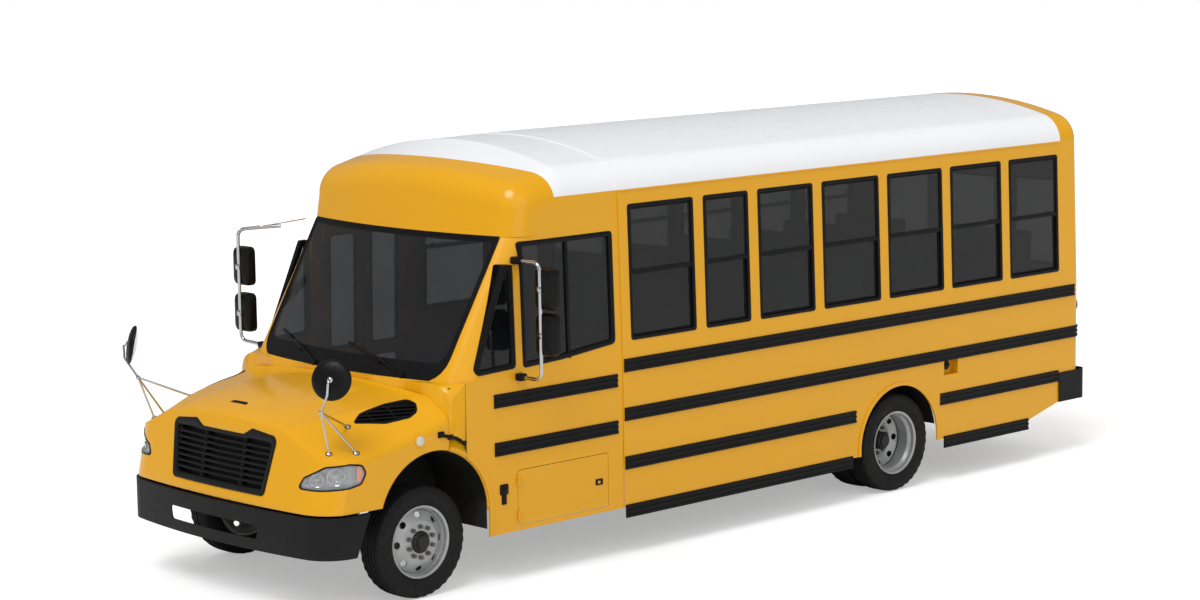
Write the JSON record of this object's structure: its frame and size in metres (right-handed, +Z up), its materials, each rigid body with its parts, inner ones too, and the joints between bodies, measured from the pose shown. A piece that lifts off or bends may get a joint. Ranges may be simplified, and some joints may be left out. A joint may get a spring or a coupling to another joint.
{
  "type": "school bus",
  "caption": "Short conventional school bus with a tilting hood, steered front wheels, twin rear wheels, a folding-out entry door and a rear door.",
  "frame": {"origin": "on the ground, at the middle of the overall length and width", "axes": "+X to the bus's left side, +Y to its rear, +Z up; the bus faces -Y"},
  "size_m": [3.12, 8.56, 3.1099],
  "materials": {
    "yellow_paint": "gloss",
    "white_paint": "gloss",
    "black_trim": "satin",
    "dark_grey": "satin",
    "chassis_black": "satin",
    "tinted_glass": "gloss",
    "lamp_lens": "gloss",
    "red_lens": "gloss",
    "wheel_paint": "satin",
    "tyre_rubber": "matte",
    "seat_vinyl": "satin",
    "cast_parts": "matte",
    "mirror_black": "satin",
    "floor_rubber": "matte",
    "aluminium": "satin"
  },
  "bodies": {
    "bus_body": {"left_wall": "yellow_paint", "right_wall": "yellow_paint", "roof": "white_paint", "rear_wall": "yellow_paint", "front_cap": "yellow_paint", "cab_left": "yellow_paint", "cab_right": "yellow_paint", "cowl": "yellow_paint", "windshield": "tinted_glass", "side_windows_left": "tinted_glass", "side_windows_right": "tinted_glass", "rear_windows": "tinted_glass", "rub_rails": "black_trim", "frame_rails": "chassis_black", "cross_members": "chassis_black", "engine_block": "cast_parts", "radiator": "aluminium", "propshaft": "chassis_black", "fuel_tank": "chassis_black", "exhaust": "cast_parts", "leaf_springs": "chassis_black", "front_axle": "cast_parts", "rear_axle": "cast_parts", "body_floor": "floor_rubber", "floor_sills": "chassis_black", "wheel_housings": "chassis_black", "entry_steps": "chassis_black", "front_bumper": "dark_grey", "rear_bumper": "dark_grey", "dashboard": "black_trim", "steering_wheel": "black_trim", "driver_seat": "seat_vinyl", "passenger_seats_left": "seat_vinyl", "passenger_seats_right": "seat_vinyl", "side_mirrors": "mirror_black", "wipers": "black_trim", "rear_lamps": "red_lens"},
    "hood": {"hood_shell": "yellow_paint", "grille": "dark_grey", "headlamps": "lamp_lens", "hood_vents": "black_trim", "crossview_mirrors": "mirror_black"},
    "knuckle_left": {"knuckle_left": "cast_parts"},
    "knuckle_right": {"knuckle_right": "cast_parts"},
    "tie_rod": {"tie_rod": "chassis_black"},
    "front_wheel_left": {"tyre_front_left": "tyre_rubber", "wheel_front_left": "wheel_paint"},
    "front_wheel_right": {"tyre_front_right": "tyre_rubber", "wheel_front_right": "wheel_paint"},
    "rear_wheels_left": {"tyres_rear_left": "tyre_rubber", "wheels_rear_left": "wheel_paint"},
    "rear_wheels_right": {"tyres_rear_right": "tyre_rubber", "wheels_rear_right": "wheel_paint"},
    "entry_door_front": {"entry_door_front": "yellow_paint"},
    "entry_door_rear": {"entry_door_rear": "yellow_paint"},
    "rear_door": {"rear_door": "yellow_paint"},
    "access_door": {"access_door": "yellow_paint"}
  },
  "joints": [
    {"name": "hood_tilt", "type": "hinge", "parent": "bus_body", "child": "hood", "pos_m": [0, -4.195, 0.75], "axis": [1, 0, 0], "range_deg": [0, 70]},
    {"name": "steer_left", "type": "hinge", "parent": "bus_body", "child": "knuckle_left", "pos_m": [0.875, -3.28, 0.405], "axis": [0, 0, 1], "range_deg": [-35, 35]},
    {"name": "steer_right", "type": "hinge", "parent": "bus_body", "child": "knuckle_right", "pos_m": [-0.875, -3.28, 0.405], "axis": [0, 0, 1], "range_deg": [-35, 35]},
    {"name": "tie_rod_pivot", "type": "hinge", "parent": "knuckle_left", "child": "tie_rod", "pos_m": [0.875, -3.1, 0.278], "axis": [0, 0, 1], "range_deg": [-35, 35]},
    {"name": "spin_front_left", "type": "hinge", "parent": "knuckle_left", "child": "front_wheel_left", "pos_m": [1.015, -3.28, 0.405], "axis": [1, 0, 0], "continuous": true},
    {"name": "spin_front_right", "type": "hinge", "parent": "knuckle_right", "child": "front_wheel_right", "pos_m": [-1.015, -3.28, 0.405], "axis": [1, 0, 0], "continuous": true},
    {"name": "spin_rear_left", "type": "hinge", "parent": "bus_body", "child": "rear_wheels_left", "pos_m": [0.941, 1.77, 0.405], "axis": [1, 0, 0], "continuous": true},
    {"name": "spin_rear_right", "type": "hinge", "parent": "bus_body", "child": "rear_wheels_right", "pos_m": [-0.941, 1.77, 0.405], "axis": [1, 0, 0], "continuous": true},
    {"name": "entry_front_swing", "type": "hinge", "parent": "bus_body", "child": "entry_door_front", "pos_m": [-1.2205, -2.316, 0.98], "axis": [0, 0, 1], "range_deg": [0, 85]},
    {"name": "entry_rear_swing", "type": "hinge", "parent": "bus_body", "child": "entry_door_rear", "pos_m": [-1.2205, -1.484, 0.98], "axis": [0, 0, -1], "range_deg": [0, 85]},
    {"name": "rear_door_swing", "type": "hinge", "parent": "bus_body", "child": "rear_door", "pos_m": [-0.376, 4.2195, 1.56], "axis": [0, 0, 1], "range_deg": [0, 110]},
    {"name": "access_door_swing", "type": "hinge", "parent": "bus_body", "child": "access_door", "pos_m": [1.2205, -2.446, 0.6], "axis": [0, 0, -1], "range_deg": [0, 100]}
  ],
  "couplings": [
    {"joint": "steer_right", "follows": "steer_left", "ratio": 1},
    {"joint": "tie_rod_pivot", "follows": "steer_left", "ratio": -1},
    {"joint": "entry_rear_swing", "follows": "entry_front_swing", "ratio": 1}
  ]
}
